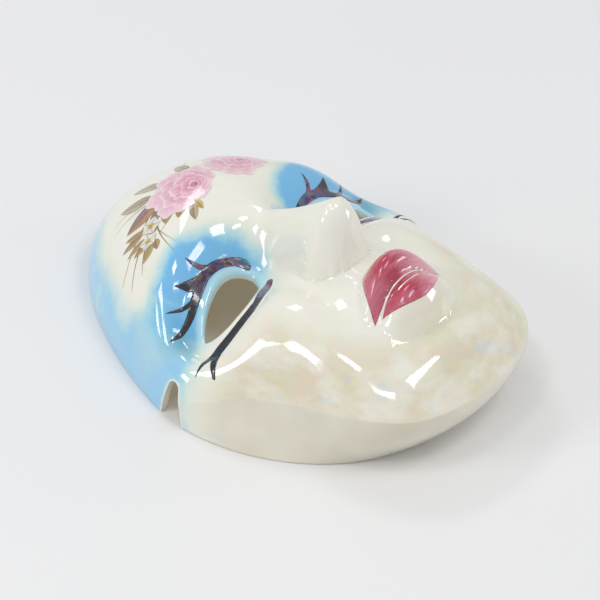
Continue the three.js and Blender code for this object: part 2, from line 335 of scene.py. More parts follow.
EYE_HOLE = dict(
    start=(52.5, 1.4),
    strokes=[
        (49.5, 5.2, 44, 7.9), (38, 10.8, 31, 11.9), (20, 12.6, 18.8, 6.6),
        (18.8, 1.6, 26, -2.4), (36, -7.4, 45, -4.4), (50, -2.2, 52.5, 1.4),
    ],
)
UPPER_LASH = dict(
    start=(15.6, 9.6),
    strokes=[
        (15, 14, 20.5, 16.8), (26, 19.4, 31, 19.9), (34.4, 21.6, 36.4, 27.2),
        (37.2, 22.8, 34.2, 19.8), (40.5, 20, 46.8, 23.8), (45.4, 20.4, 43, 17),
        (45, 16, 46, 15.8), (51, 17.4, 55.4, 21.6), (52.6, 17.2, 48, 14.6),
        (54, 11.8, 61.2, 14), (56.4, 9.4, 49, 10.6), (42, 13, 35, 15.4),
        (26, 16, 21, 13.8), (19.2, 12.4, 18.2, 9.6), (16.8, 8, 15.6, 9.6),
    ],
)
LOWER_LASH = dict(
    start=(17.8, -1.4),
    strokes=[
        (26, -4.6, 34, -8.2), (43, -9.6, 52, -5.2), (59, -3.2, 67.5, -5.6),
        (62, -5.8, 58.4, -7), (63.5, -9, 66, -16), (61.5, -10.4, 55, -9.4),
        (46, -12, 38, -12), (27, -10, 18, -4.4), (15.6, -2.9, 17.8, -1.4),
    ],
)
UPPER_LIP = dict(
    start=(0, -49.5),
    strokes=[
        (-3, -42.5, -8, -43.8), (-15, -48, -20.5, -60.5), (-14, -58.6, -8, -57.8),
        (0, -57.2, 8, -57.8), (14, -58.6, 20.5, -60.5), (15, -48, 8, -43.8),
        (3, -42.5, 0, -49.5),
    ],
)
LOWER_LIP = dict(
    start=(-17, -61.4),
    strokes=[
        (-11, -69, 0, -69.6), (11, -69, 17, -61.4), (13, -59.3, 8, -58.5),
        (0, -57.9, -8, -58.5), (-13, -59.3, -17, -61.4),
    ],
)


# ---- Meshes -----------------------------------------------------------------------------------

def mesh_object(name, points_mm, faces):
    mesh = bpy.data.meshes.new(name)
    mesh.from_pydata((np.asarray(points_mm) * MM).tolist(), [], faces)
    mesh.validate()
    mesh.polygons.foreach_set("use_smooth", [True] * len(mesh.polygons))
    obj = bpy.data.objects.new(name, mesh)
    bpy.context.scene.collection.objects.link(obj)
    return obj


def apply_modifiers(obj):
    bpy.context.view_layer.update()
    evaluated = obj.evaluated_get(bpy.context.evaluated_depsgraph_get())
    baked = bpy.data.meshes.new_from_object(evaluated)
    baked.name = obj.name
    obj.modifiers.clear()
    obj.data = baked


def point_values(obj, name, values):
    attribute = obj.data.attributes.get(name) or obj.data.attributes.new(name, "FLOAT", "POINT")
    attribute.data.foreach_set("value", np.asarray(values, np.float32))


def point_colours(obj, name, colours):
    attribute = obj.data.color_attributes.new(name, "FLOAT_COLOR", "POINT")
    rgba = np.ones((len(colours), 4), np.float32)
    rgba[:, :3] = colours
    attribute.data.foreach_set("color", rgba.ravel())


def points_of(obj):
    co = np.zeros(len(obj.data.vertices) * 3, np.float32)
    obj.data.vertices.foreach_get("co", co)
    return co.reshape(-1, 3).astype(float) / MM


# ---- The shell --------------------------------------------------------------------------------

def rim_round(points, bearing, outwards):
    """Draws the last rows above the rim in, so that its edge is round."""
    z = np.clip(points[..., 2], 0, RIM_ROUND)
    draw = RIM_ROUND - np.sqrt(np.maximum(RIM_ROUND ** 2 - (RIM_ROUND - z) ** 2, 0))
    rounded = points.copy()
    rounded[..., 0] -= outwards * draw * np.sin(bearing)
    rounded[..., 1] -= outwards * draw * np.cos(bearing)
    return rounded


def side_rows_to_rim(bearing, inset, features, outwards):
    """The lowest rows of one face of the wall, down to the rim."""
    rows = []
    for angle in np.linspace(0, math.pi / 2, FOOT_ROWS):
        rise = np.full_like(bearing, RIM_ROUND * (1 - math.sin(angle)) / (DOME_HEIGHT - inset))
        points = face_points(bearing, np.ones_like(bearing), rise, inset, features)
        rows.append(rim_round(points, bearing, outwards))
    return rows


def shell_rows():
    """Rows of points from the middle of the outer face, round the rim, to the middle inside."""
    bearing = np.arange(ROUND_STEPS) / ROUND_STEPS * 2 * math.pi - math.pi
    outer = [face_points(bearing, share, rise, 0.0, outer_features)
             for share, rise in section_rows(bearing, OUTER_DOME_ROWS, OUTER_WALL_ROWS)]
    inner = [face_points(bearing, share, rise, WALL, inner_features)
             for share, rise in section_rows(bearing, INNER_DOME_ROWS, INNER_WALL_ROWS)]
    outer_foot = side_rows_to_rim(bearing, 0.0, outer_features, 1)
    inner_foot = side_rows_to_rim(bearing, WALL, inner_features, -1)
    flat = [mix(outer_foot[-1], inner_foot[-1], t) for t in (0.33, 0.67)]
    rows = outer + outer_foot + flat + inner_foot[::-1] + inner[::-1]
    return rows, len(outer) + len(outer_foot), len(rows) - len(inner) - len(inner_foot)


def kept_quads(rows, hole_distance):
    """Quads of the grid, without those that reach within the patch round an eye hole."""
    quads, removed = [], []
    for r in range(len(rows) - 1):
        for s in range(ROUND_STEPS):
            t = (s + 1) % ROUND_STEPS
            quad = (r * ROUND_STEPS + s, (r + 1) * ROUND_STEPS + s,
                    (r + 1) * ROUND_STEPS + t, r * ROUND_STEPS + t)
            near = min(hole_distance[i] for i in quad) < EYE_PATCH_REACH
            (removed if near else quads).append(quad)
    return quads, removed


def border_loop(quads):
    """The closed loop of vertices round a patch of quads, in order."""
    following = {}
    edges = {(q[k], q[(k + 1) % 4]) for q in quads for k in range(4)}
    for a, b in edges:
        if (b, a) not in edges:
            following[a] = b
    start = next(iter(following))
    loop = [start]
    while following[loop[-1]] != start:
        loop.append(following[loop[-1]])
    return loop


def offset_ring(outline, distance):
    ahead, behind = np.roll(outline, -1, 0), np.roll(outline, 1, 0)
    along = ahead - behind
    along /= np.hypot(*along.T)[:, None]
    outwards = np.stack([along[:, 1], -along[:, 0]], -1)
    return outline + distance * outwards


def patch_round_hole(loop_points, ring):
    """Triangles that fill the space between a ring and the loop round it."""
    points = np.vstack([loop_points, ring])
    n, m = len(loop_points), len(ring)
    edges = [(i, (i + 1) % n) for i in range(n)]
    edges += [(n + i, n + (i + 1) % m) for i in range(m)]
    found = delaunay_2d_cdt([Vector(p) for p in points], edges, [], 0, 1e-6)
    source = [ids[0] for ids in found[3]]
    triangles = []
    centres = np.array([np.mean([found[0][v] for v in tri], 0) for tri in found[2]])
    inside_loop = distance_outside(centres, loop_points) < 0
    outside_ring = distance_outside(centres, ring) > 0
    for tri, keep in zip(found[2], inside_loop & outside_ring):
        if keep:
            triangles.append([source[v] for v in tri])
    return triangles


def eye_rings(side):
    """Rings round one eye hole, and how far each is along the quarter round of its edge."""
    outline = resample(drawn(side=side, **EYE_HOLE), 0.75)
    if not turns_left(outline):
        outline = outline[::-1]
    angles = np.linspace(0, math.pi / 2, 7)
    reaches = list(EYE_EDGE_ROUND * (1 - np.cos(angles))) + [EYE_RING_REACH]
    return [offset_ring(outline, reach) for reach in reaches], reaches


def edge_share(reach):
    """Height share of the quarter round at a distance from the edge of the eye hole."""
    inwards = 1 - min(reach / EYE_EDGE_ROUND, 1)
    return math.sqrt(1 - inwards * inwards)


def add_eye(points, faces, inner_flags, removed_outer, removed_inner, side):
    """Fills the space that was cleared round one eye hole, on both faces of the wall."""
    rings, reaches = eye_rings(side)
    edge = rings[0]
    middle = (face_height(*edge.T) + face_height(*edge.T, WALL, inner_features)) / 2
    ids = {}
    for face_name, inset, features, removed in (
            ("outer", 0.0, outer_features, removed_outer),
            ("inner", WALL, inner_features, removed_inner)):
        ring_ids = []
        for ring, reach in zip(rings, reaches):
            if reach == 0 and "edge" in ids:
                ring_ids.append(ids["edge"])
                continue
            z = mix(middle, face_height(*ring.T, inset, features), edge_share(reach))
            first = len(points)
            points.extend(np.column_stack([ring, z]))
            inner_flags.extend([0.5 if reach == 0 else float(face_name == "inner")] * len(ring))
            ring_ids.append(list(range(first, first + len(ring))))
            if reach == 0:
                ids["edge"] = ring_ids[0]
        outwards = face_name == "outer"
        for a, b in zip(ring_ids[:-1], ring_ids[1:]):
            for i in range(len(a)):
                j = (i + 1) % len(a)
                quad = [a[i], b[i], b[j], a[j]]
                faces.append(quad if outwards else quad[::-1])
        loop = border_loop(removed)
        loop_points = np.array([points[i][:2] for i in loop])
        names = loop + ring_ids[-1]
        for tri in patch_round_hole(loop_points, rings[-1]):
            named = [names[v] for v in tri]
            faces.append(named if outwards else named[::-1])


def shell_object():
    rows, outer_rows, inner_start = shell_rows()
    grid = np.concatenate(rows)
    points = [*grid]
    row_number = np.repeat(np.arange(len(rows)), ROUND_STEPS)
    inner_flags = list(smooth((row_number - outer_rows + 1) / (inner_start - outer_rows + 1)))
    clear_of_rim = row_number < outer_rows - RIM_ROWS_OUTSIDE
    clear_of_rim |= row_number > inner_start + RIM_ROWS_INSIDE
    distance = np.full(len(grid), np.inf)
    for side in (1, -1):
        outline = resample(drawn(side=side, **EYE_HOLE), 1.5)
        near = clear_of_rim & (np.abs(grid[:, 0] - side * EYE_X) < EYE_SEARCH[0])
        near &= np.abs(grid[:, 1]) < EYE_SEARCH[1]
        distance[near] = np.minimum(distance[near], distance_outside(grid[near, :2], outline))
    quads, removed = kept_quads(rows, distance)
    faces = [list(q) for q in quads]
    for side in (1, -1):
        mine = [q for q in removed if grid[q[0], 0] * side > 0]
        split = outer_rows * ROUND_STEPS
        add_eye(points, faces, inner_flags, [q for q in mine if q[0] < split],
                [q for q in mine if q[0] >= split], side)
    shell = mesh_object("mask_shell_glazed", points, faces)
    point_values(shell, "inside", inner_flags)
    clean_mesh(shell)
    cut_notches(shell)
    return shell


def clean_mesh(shell):
    """Merges vertices that lie on one point, and turns every face outwards."""
    bm = bmesh.new()
    bm.from_mesh(shell.data)
    bmesh.ops.remove_doubles(bm, verts=bm.verts, dist=MERGE_DISTANCE * MM)
    bmesh.ops.recalc_face_normals(bm, faces=bm.faces)
    bm.to_mesh(shell.data)
    bm.free()


def notch_outline():
    top = NOTCH_HEIGHT - NOTCH_TOP_RADIUS
    arc = [(NOTCH_TOP_RADIUS * math.cos(a), top + NOTCH_TOP_RADIUS * math.sin(a))
           for a in np.linspace(0, math.pi, 24)]
    return [(-NOTCH_WIDTH / 2, -2), (NOTCH_WIDTH / 2, -2), *arc]


def cut_notches(shell):
    """Cuts the ribbon notches, which are straight through the wall at each temple."""
    for side in (1, -1):
        outline = notch_outline()
        n = len(outline)
        near = (HALF_WIDTH - NOTCH_CUT_DEPTH) * side
        far = (HALF_WIDTH + CUTTER_OVERSHOOT) * side
        points = [(x, NOTCH_Y + y, z) for x in (near, far) for y, z in outline]
        faces = [list(range(n)), list(range(2 * n - 1, n - 1, -1))]
        faces += [[i, i + n, (i + 1) % n + n, (i + 1) % n] for i in range(n)]
        cutter = mesh_object(f"notch_cutter_{side}", points, faces)
        clean_mesh(cutter)
        cut = shell.modifiers.new("notch", "BOOLEAN")
        cut.operation = "DIFFERENCE"
        cut.solver = "EXACT"
        cut.object = cutter
        apply_modifiers(shell)
        bpy.data.objects.remove(cutter)
    shell.data.polygons.foreach_set("use_smooth", [True] * len(shell.data.polygons))
    shell.data.set_sharp_from_angle(angle=SHARP_ANGLE)


# ---- Paint masks on the shell -----------------------------------------------------------------

def eye_blue(x, y):
    """Sky-blue airbrush above and outside each eye: 1 in its middle, 0 past its soft edge."""
    dx, dy = np.abs(x) - 37, y - 15
    turn = math.radians(15)
    a = (math.cos(turn) * dx + math.sin(turn) * dy) / 31
    b = (-math.sin(turn) * dx + math.cos(turn) * dy) / 24
    blue = 1 - smooth((np.sqrt(a * a + b * b) - 0.42) / 0.72)
    return blue * smooth((y + 13) / 12)


def outer_teal(x, y):
    """A deeper tone where the airbrush was held longest, outside each eye's outer corner."""
    away = np.hypot((np.abs(x) - 58) / 10, (y - 10) / 13)
    return 0.6 * (1 - smooth(away))


def eye_margin(x, y):
    """The pale band between each eye's hole and its lashes: 1 at the hole, 0 by the lash."""
    margin = np.zeros(len(x))
    near = (np.abs(np.abs(x) - EYE_X) < 26) & (np.abs(y - 3) < 18)
    outline = resample(drawn(**EYE_HOLE), 1.5)
    distance = distance_outside(np.column_stack([np.abs(x[near]), y[near]]), outline)
    margin[near] = 1 - smooth((distance - 2.4) / 2.2)
    return margin


def notch_margin(x, y, z):
    """The bare cream edge of the ribbon notches."""
    outline = np.array(notch_outline()) + (NOTCH_Y, 0)
    distance = distance_outside(np.column_stack([y, z]), outline)
    return (1 - smooth(distance / 1.2)) * (np.abs(x) > HALF_WIDTH - NOTCH_CUT_DEPTH)


def rim_share(x, y):
    """How far out a point is, as a share of the way to the shell's widest outline."""
    bearing = np.arctan2(x, y - CENTRE[1])
    return np.hypot(x, y - CENTRE[1]) / (rim_reach(bearing) * (1 + chin_swell(bearing)))


def edge_blue(x, y):
    """The blue band along the edge of the forehead, from temple to temple."""
    bearing = np.abs(np.arctan2(x, y - CENTRE[1]))
    start = mix(0.84, 0.72, smooth((bearing - 0.9) / 0.5))
    return smooth((rim_share(x, y) - start) / 0.22) * (1 - smooth((bearing - 1.38) / 0.5))


def cheek_lustre(x, y):
    """Where the mother-of-pearl lies thickest: the sides of the cheeks, the jaw and the chin."""
    share = rim_share(x, y)
    return smooth((share - 0.52) / 0.36) * smooth((-6 - y) / 22)


def jaw_wall(x, y, z):
    """The plainer upright wall below the jaw's ridge."""
    bearing = np.abs(np.arctan2(x, y - CENTRE[1]))
    top = DOME_HEIGHT * wall_share(bearing)
    return smooth((top + 1.5 - z) / 3) * smooth((bearing - 1.75) / 0.3)


def paint_shell(shell):
    x, y, z = points_of(shell).T
    point_values(shell, "eye_blue", eye_blue(x, y))
    point_values(shell, "edge_blue", edge_blue(x, y))
    point_values(shell, "teal", outer_teal(x, y))
    point_values(shell, "eye_margin", eye_margin(x, y))
    point_values(shell, "notch_margin", notch_margin(x, y, z))
    point_values(shell, "lustre", cheek_lustre(x, y))
    point_values(shell, "wall", jaw_wall(x, y, z))


# ---- Node helpers -----------------------------------------------------------------------------

class Graph:
    """A short way to build one material's nodes."""

    def __init__(self, name):
        self.material = bpy.data.materials.new(name)
        self.material.use_nodes = True
        self.tree = self.material.node_tree
        self.shader = self.tree.nodes["Principled BSDF"]
        self.place = self.node("ShaderNodeTexCoord").outputs["Object"]

    def node(self, kind, inputs=(), **settings):
        made = self.tree.nodes.new(kind)
        for key, value in settings.items():
            setattr(made, key, value)
        for socket, value in dict(inputs).items():
            if isinstance(value, bpy.types.NodeSocket):
                self.tree.links.new(value, made.inputs[socket])
            else:
                made.inputs[socket].default_value = value
        return made

    def value(self, name):
        return self.node("ShaderNodeAttribute", attribute_name=name).outputs["Fac"]

    def colour(self, name):
        return self.node("ShaderNodeAttribute", attribute_name=name).outputs["Color"]

    def noise(self, per_mm, detail=3.0, roughness=0.5, distortion=0.0, place=None, offset=0.0):
        inputs = {"Vector": place or self.place, "Scale": per_mm / MM, "Detail": detail,
                  "Roughness": roughness, "Distortion": distortion}
        if offset:
            inputs["Vector"] = self.moved(inputs["Vector"], offset)
        return self.node("ShaderNodeTexNoise", inputs).outputs["Fac"]

    def moved(self, vector, offset):
        return self.node("ShaderNodeVectorMath", {0: vector, 1: (offset, offset, offset)},
                         operation="ADD").outputs[0]

    def stretched(self, scale, turn):
        return self.node("ShaderNodeMapping", {"Vector": self.place, "Scale": scale,
                                               "Rotation": turn}).outputs[0]

    def ramp(self, factor, stops):
        made = self.node("ShaderNodeValToRGB", {"Fac": factor})
        elements = made.color_ramp.elements
        while len(elements) < len(stops):
            elements.new(0.5)
        for element, (at, colour) in zip(elements, stops):
            element.position = at
            element.color = (*colour, 1)
        return made.outputs["Color"]

    def maths(self, operation, a, b=0.0, clamp=False):
        return self.node("ShaderNodeMath", {0: a, 1: b}, operation=operation,
                         use_clamp=clamp).outputs[0]

    def range(self, value, low, high, to_low=0.0, to_high=1.0):
        return self.node("ShaderNodeMapRange", {"Value": value, "From Min": low, "From Max": high,
                                                "To Min": to_low, "To Max": to_high}).outputs[0]

    def blend(self, factor, a, b):
        made = self.node("ShaderNodeMix", data_type="RGBA")
        for index, value in ((0, factor), (6, a), (7, b)):
            if isinstance(value, bpy.types.NodeSocket):
                self.tree.links.new(value, made.inputs[index])
            elif index:
                made.inputs[index].default_value = (*value, 1)
            else:
                made.inputs[index].default_value = value
        return made.outputs[2]

    def bump(self, height, distance_mm, strength=1.0):
        normal = self.node("ShaderNodeBump", {"Height": height, "Distance": distance_mm * MM,
                                              "Strength": strength}).outputs[0]
        self.tree.links.new(normal, self.shader.inputs["Normal"])

    def set(self, **sockets):
        for name, value in sockets.items():
            socket = self.shader.inputs[name.replace("_", " ")]
            if isinstance(value, bpy.types.NodeSocket):
                self.tree.links.new(value, socket)
            else:
                socket.default_value = value


# ---- Materials --------------------------------------------------------------------------------

CREAM = (0.86, 0.85, 0.76)
SKY = (0.17, 0.49, 0.79)
AQUA = (0.32, 0.67, 0.78)
MINT = (0.62, 0.80, 0.66)
BEIGE = (0.63, 0.56, 0.41)
SHADE_TAUPE = (0.60, 0.55, 0.44)
STRAW = (0.80, 0.80, 0.58)
PALE_SKY = (0.30, 0.60, 0.84)
TEAL = (0.05, 0.28, 0.45)
PALE_AQUA = (0.50, 0.76, 0.80)
INSIDE_GLOW_LIGHT = (0.125, 0.113, 0.082)


def pearl_base(g, streaky, patches):
    """Cream with a little mother-of-pearl, thickest on the cheeks and plain on the jaw's wall."""
    pearl = g.ramp(patches, [
        (0.32, (0.72, 0.64, 0.74)), (0.40, (0.84, 0.78, 0.46)), (0.47, (0.74, 0.80, 0.58)),
        (0.53, (0.86, 0.70, 0.54)), (0.60, (0.84, 0.78, 0.50)), (0.68, (0.62, 0.70, 0.76))])
    mottle = g.noise(0.045, detail=4.0, roughness=0.6, place=streaky, offset=0.3)
    lustre = g.maths("MULTIPLY", g.value("lustre"), g.range(mottle, 0.36, 0.56, 0.25, 1.0))
    base = g.blend(0.10, CREAM, pearl)
    base = g.blend(g.maths("MULTIPLY", lustre, 0.9), base, g.blend(0.55, pearl, BEIGE))
    soft = g.noise(0.035, detail=2.0)
    plain = g.blend(g.range(soft, 0.3, 0.7, 0.35, 0.75), BEIGE, CREAM)
    return g.blend(g.value("wall"), base, plain)


def with_airbrush(g, base):
    """The blues round the eyes and along the forehead, which fade out through mint and straw."""
    cloud = g.range(g.noise(0.055, detail=4.0, roughness=0.6, offset=1.7), 0.3, 0.7, -0.42, 0.3)
    for name, deepest in (("edge_blue", PALE_SKY), ("eye_blue", SKY)):
        amount = g.maths("ADD", g.value(name), g.maths("MULTIPLY", cloud, g.value(name)))
        tone = g.ramp(amount, [(0.04, STRAW), (0.16, MINT), (0.36, AQUA), (0.72, deepest)])
        base = g.blend(g.range(amount, 0.02, 0.6), base, tone)
    return g.blend(g.value("teal"), base, TEAL)


def with_margins(g, base):
    """The paler bands round the eye holes and the notches."""
    blue = g.range(g.value("eye_blue"), 0.1, 0.5)
    band = g.blend(blue, CREAM, PALE_AQUA)
    base = g.blend(g.maths("MULTIPLY", g.value("eye_margin"), 0.75), base, band)
    return g.blend(g.value("notch_margin"), base, CREAM)


def pearl_glaze():
    g = Graph("pearl_glaze")
    streaky = g.stretched((1.0, 1.0, 2.2), (0, 0, math.radians(35)))
    patches = g.noise(0.05, detail=3.0, roughness=0.55, place=streaky)
    base = with_margins(g, with_airbrush(g, pearl_base(g, streaky, patches)))
    inside = g.value("inside")
    base = g.blend(g.range(inside, 0.02, 0.12), base, CREAM)
    # painted shade: the inside face is coloured a darker taupe, for the shade in the hollow under
    # the shell
    base = g.blend(g.range(inside, 0.5, 0.9), base, SHADE_TAUPE)
    g.set(Base_Color=base)
    # painted light: the faint glow on the inside face brightens the hollow seen through the eye
    # holes, standing in for light that passes through the thin wall
    g.set(Emission_Color=g.blend(g.range(inside, 0.5, 0.9), (0, 0, 0), INSIDE_GLOW_LIGHT), Emission_Strength=1)
    wall_rough = g.maths("MULTIPLY", g.value("wall"), 0.16)
    rough = g.maths("ADD", g.range(g.noise(0.3, offset=0.9), 0.3, 0.7, 0.05, 0.1), wall_rough)
    g.set(Roughness=g.maths("ADD", rough, g.range(inside, 0.5, 0.9, 0, 0.45)))
    g.set(IOR=1.55, Coat_Weight=0.35, Coat_Roughness=0.03)
    g.set(Thin_Film_IOR=1.6, Thin_Film_Thickness=g.range(patches, 0.3, 0.7, 260, 400))
    waves = g.noise(0.05, detail=1.0, offset=2.3)
    dimples = g.noise(0.9, detail=2.0, offset=3.1)
    g.bump(g.maths("ADD", waves, g.maths("MULTIPLY", dimples, 0.04)), 0.35, 0.6)
    return g.material


def lash_enamel():
    g = Graph("lash_transfer")
    cells = g.node("ShaderNodeTexVoronoi", {"Vector": g.place, "Scale": 0.62 / MM,
                                            "Randomness": 1.0}).outputs["Color"]
    pick = g.node("ShaderNodeSeparateColor", {0: cells}).outputs[0]
    slick = g.ramp(pick, [
        (0.0, (0.02, 0.02, 0.03)), (0.25, (0.13, 0.05, 0.22)), (0.42, (0.02, 0.16, 0.17)),
        (0.58, (0.28, 0.12, 0.05)), (0.72, (0.30, 0.05, 0.16)), (0.86, (0.05, 0.10, 0.26))])
    sideways = g.node("ShaderNodeSeparateXYZ", {0: g.place}).outputs[0]
    outwards = g.maths("ABSOLUTE", sideways)
    inner_part = g.range(outwards, 44 * MM, 34 * MM)
    where = g.range(g.noise(0.05, detail=1.0, offset=0.4), 0.40, 0.52, 0.35, 1.0)
    g.set(Base_Color=g.blend(g.maths("MULTIPLY", where, inner_part), (0.010, 0.009, 0.013), slick))
    g.set(Roughness=g.range(g.noise(0.5), 0.3, 0.7, 0.12, 0.26), IOR=1.55, Coat_Weight=0.6,
          Coat_Roughness=0.05)
    g.bump(g.noise(0.6, detail=4.0), 0.05)
    return g.material


def lip_enamel():
    g = Graph("lip_colour")
    strokes = g.noise(0.1, detail=6.0, roughness=0.7, distortion=0.4,
                      place=g.stretched((1.0, 7.0, 1.0), (0, 0, math.radians(12))))
    body = g.ramp(strokes, [
        (0.30, (0.34, 0.02, 0.04)), (0.50, (0.47, 0.05, 0.085)), (0.68, (0.58, 0.13, 0.18))])
    sideways = g.node("ShaderNodeSeparateXYZ", {0: g.place}).outputs[0]
    pale_side = g.range(g.maths("ADD", sideways, g.maths("MULTIPLY", strokes, 14 * MM)),
                        4 * MM, 18 * MM, 0.0, 0.85)
    patch = g.range(g.noise(0.06, offset=0.8), 0.46, 0.6, 0.0, 0.25)
    g.set(Base_Color=g.blend(g.maths("ADD", patch, pale_side, clamp=True), body,
                             (0.78, 0.40, 0.46)))
    g.set(Roughness=g.range(strokes, 0.3, 0.7, 0.08, 0.2), IOR=1.55, Coat_Weight=0.5,
          Coat_Roughness=0.03)
    g.set(Thin_Film_IOR=1.5, Thin_Film_Thickness=300)
    g.bump(strokes, 0.06)
    return g.material


def rose_print():
    g = Graph("rose_transfer")
    wash = g.range(g.noise(0.35, detail=5.0, roughness=0.65), 0.3, 0.7, 0.86, 1.1)
    grain = g.range(g.noise(1.6, detail=3.0, offset=0.6), 0.3, 0.7, 0.95, 1.05)
    tone = g.maths("MULTIPLY", wash, grain)
    printed = g.node("ShaderNodeVectorMath", {0: g.colour("print"), "Scale": tone},
                     operation="SCALE").outputs[0]
    g.set(Base_Color=printed, Roughness=g.range(wash, 0.86, 1.1, 0.1, 0.18), IOR=1.5,
          Coat_Weight=0.4, Coat_Roughness=0.04)
    g.bump(g.noise(0.4, detail=2.0), 0.04)
    return g.material


def studio_floor():
    g = Graph("studio_floor")
    tint = g.range(g.noise(0.004, detail=3.0), 0.3, 0.7)
    g.set(Base_Color=g.blend(tint, (0.835, 0.83, 0.825), (0.85, 0.845, 0.84)), Roughness=0.55)
    return g.material


# ---- Films that follow the face ---------------------------------------------------------------

def on_face(xy, lift):
    """Points on the outer face, lifted along its own slope."""
    x, y = np.asarray(xy, float).T
    z = face_height(x, y)
    ahead, behind = face_height(x + SLOPE_STEP, y), face_height(x - SLOPE_STEP, y)
    slope_x = (ahead - behind) / (2 * SLOPE_STEP)
    ahead, behind = face_height(x, y + SLOPE_STEP), face_height(x, y - SLOPE_STEP)
    slope_y = (ahead - behind) / (2 * SLOPE_STEP)
    length = np.sqrt(1 + slope_x ** 2 + slope_y ** 2)
    lift = np.broadcast_to(lift, x.shape)
    return np.stack([x - lift * slope_x / length, y - lift * slope_y / length,
                     z + lift / length], -1)


def film_object(name, outline, lift, thickness, spacing):
    """A thin film on the face inside a drawn outline."""
    border = resample(outline, spacing)
    low, high = border.min(0), border.max(0)
    across = np.arange(low[0], high[0], spacing)
    up = np.arange(low[1], high[1], spacing * 0.87)
    inner = np.array([(x + (k % 2) * spacing / 2, y) for k, y in enumerate(up) for x in across])
    inner = inner[distance_outside(inner, border) < -0.45 * spacing]
    points = np.vstack([border, inner])
    edges = [(i, (i + 1) % len(border)) for i in range(len(border))]
    found = delaunay_2d_cdt([Vector(p) for p in points], edges, [], 0, 1e-6)
    flat = np.array([tuple(v) for v in found[0]])
    triangles = [list(t) for t in found[2]]
    centres = np.array([flat[t].mean(0) for t in triangles])
    triangles = [t for t, d in zip(triangles, distance_outside(centres, border)) if d < 0]
    film = mesh_object(name, on_face(flat, lift), triangles)
    face_up(film)
    thicken(film, thickness)
    return film


def face_up(film):
    """Turns a film's triangles so that they all look out of the face."""
    mesh = film.data
    if sum(p.normal.z * p.area for p in mesh.polygons) < 0:
        mesh.flip_normals()


def thicken(film, thickness):
    solid = film.modifiers.new("thickness", "SOLIDIFY")
    solid.thickness = thickness * MM
    solid.offset = -1
    apply_modifiers(film)


# ---- The rose spray ---------------------------------------------------------------------------

FOLD = (0.50, 0.17, 0.27)
ROSE = (0.74, 0.32, 0.44)
BLUSH = (0.80, 0.46, 0.55)
PINK = (0.84, 0.57, 0.64)
PALE = (0.88, 0.72, 0.75)
GOLD = (0.46, 0.32, 0.10)
OLIVE = (0.30, 0.24, 0.12)
BROWN = (0.20, 0.13, 0.12)
WHITE = (0.84, 0.83, 0.76)
FIRST_LIFT = 0.05
LIFT_STEP = 0.003


class Print:
    """Gathers the small painted patches of the spray into one mesh."""

    def __init__(self):
        self.points, self.faces, self.colours = [], [], []
        self.lift = FIRST_LIFT

    def patch(self, xy, colours):
        """One grid of points (rows x columns x 2), on top of everything before it."""
        rows, columns = xy.shape[:2]
        first = len(self.points)
        self.points.extend(on_face(xy.reshape(-1, 2), self.lift))
        self.colours.extend(np.asarray(colours).reshape(-1, 3))
        for r in range(rows - 1):
            for c in range(columns - 1):
                a = first + r * columns + c
                self.faces.append([a, a + 1, a + columns + 1, a + columns])
        self.lift += LIFT_STEP


def along_stops(v, stops):
    """Colour at v from a list of (position, colour)."""
    at = [s[0] for s in stops]
    return np.stack([np.interp(v, at, [s[1][k] for s in stops]) for k in range(3)], -1)


def petal(spray, core, centre, reach, bearing, width, inner, outer, tilt, rng, stops):
    """One rose petal: a fan with a rolled, slightly wavy edge."""
    u = np.linspace(-1, 1, 19)[None, :]
    v = np.linspace(0, 1, 10)[:, None]
    wave = 0.05 * np.sin(u * 5 + rng.uniform(0, 6)) + 0.04 * np.sin(u * 11 + rng.uniform(0, 6))
    edge = outer * (1 - 0.24 * np.abs(u) ** 3.2 + wave)
    radius = mix(inner, edge, v)
    angle = bearing + u * width * mix(0.75, 1.0, v) + tilt * v
    middle = core + (centre - core) * np.clip(radius / reach, 0, 1)[..., None]
    stretch = np.array([1.0, 0.92])
    xy = middle + radius[..., None] * np.stack([np.cos(angle), np.sin(angle)], -1) * stretch
    colours = along_stops(v + 0 * u, stops)
    shade = 1 - 0.16 * np.clip(u * rng.choice([-1, 1]), 0, 1) ** 2 * (1 - v)
    spray.patch(xy, colours * shade[..., None])


def rose(spray, core, centre, reach, turn, rng):
    core, centre = np.array(core, float), np.array(centre, float)
    rings = [
        (5, 0.76, 0.34, 1.00, [(0, ROSE), (0.35, BLUSH), (0.85, PINK), (1, PALE)]),
        (4, 0.86, 0.26, 0.78, [(0, FOLD), (0.3, ROSE), (0.75, BLUSH), (0.95, PINK), (1, PALE)]),
        (4, 0.86, 0.16, 0.56, [(0, FOLD), (0.35, ROSE), (0.8, BLUSH), (0.94, PALE), (1, PALE)]),
        (3, 1.10, 0.08, 0.36, [(0, FOLD), (0.5, ROSE), (0.88, BLUSH), (1, PALE)]),
        (2, 1.60, 0.00, 0.20, [(0, FOLD), (0.6, ROSE), (0.9, PINK), (1, PALE)]),
    ]
    for k, (count, width, inner, outer, stops) in enumerate(rings):
        for i in range(count):
            bearing = turn + k * 0.7 + 2 * math.pi * i / count + rng.uniform(-0.12, 0.12)
            size = rng.uniform(0.93, 1.06)
            petal(spray, core, centre, reach, bearing, width, inner * reach,
                  outer * reach * size, 0.12, rng, stops)


